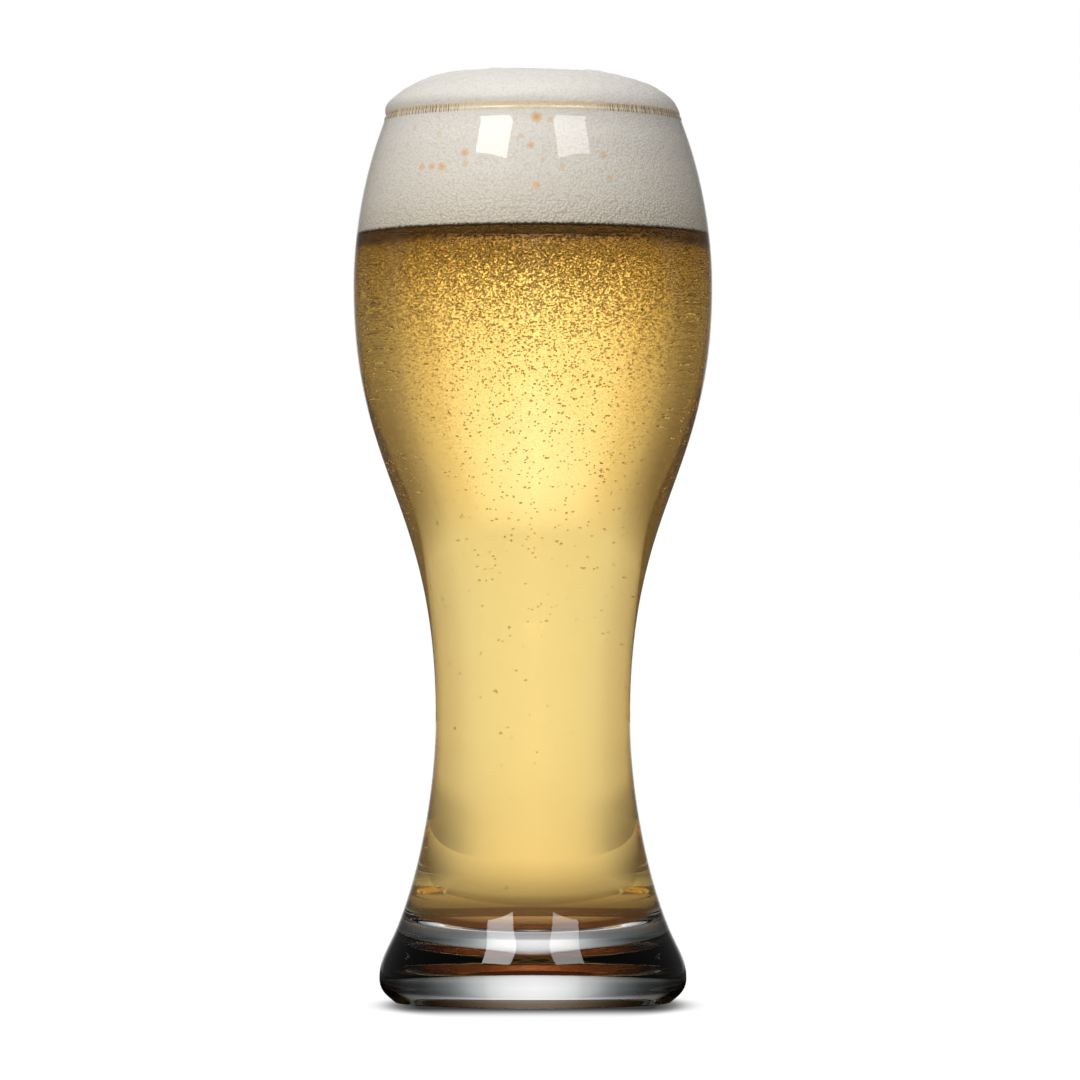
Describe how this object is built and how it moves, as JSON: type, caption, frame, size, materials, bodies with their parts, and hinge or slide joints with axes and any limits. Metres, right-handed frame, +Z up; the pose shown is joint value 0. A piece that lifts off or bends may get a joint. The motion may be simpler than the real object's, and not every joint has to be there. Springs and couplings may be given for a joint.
{
  "type": "pilsner glass",
  "caption": "Tall footed beer glass with a round belly, narrow waist and thick flared foot, full of pale beer under a foam head that stands over the lip.",
  "frame": {"origin": "middle of the ring that the glass stands on, at the height of the table", "axes": "+Z up along the glass's axis; the glass is round, so +X and +Y are free, and -Y faces the viewer of the picture"},
  "size_m": [0.0912, 0.0912, 0.2368],
  "materials": {
    "clear_glass": "clear blown glass, fire polished, with no cut or print",
    "pale_beer": null,
    "beer_foam": null
  },
  "bodies": {
    "root": {"glass": "clear_glass", "beer": "pale_beer", "foam_head": "beer_foam"}
  },
  "joints": []
}
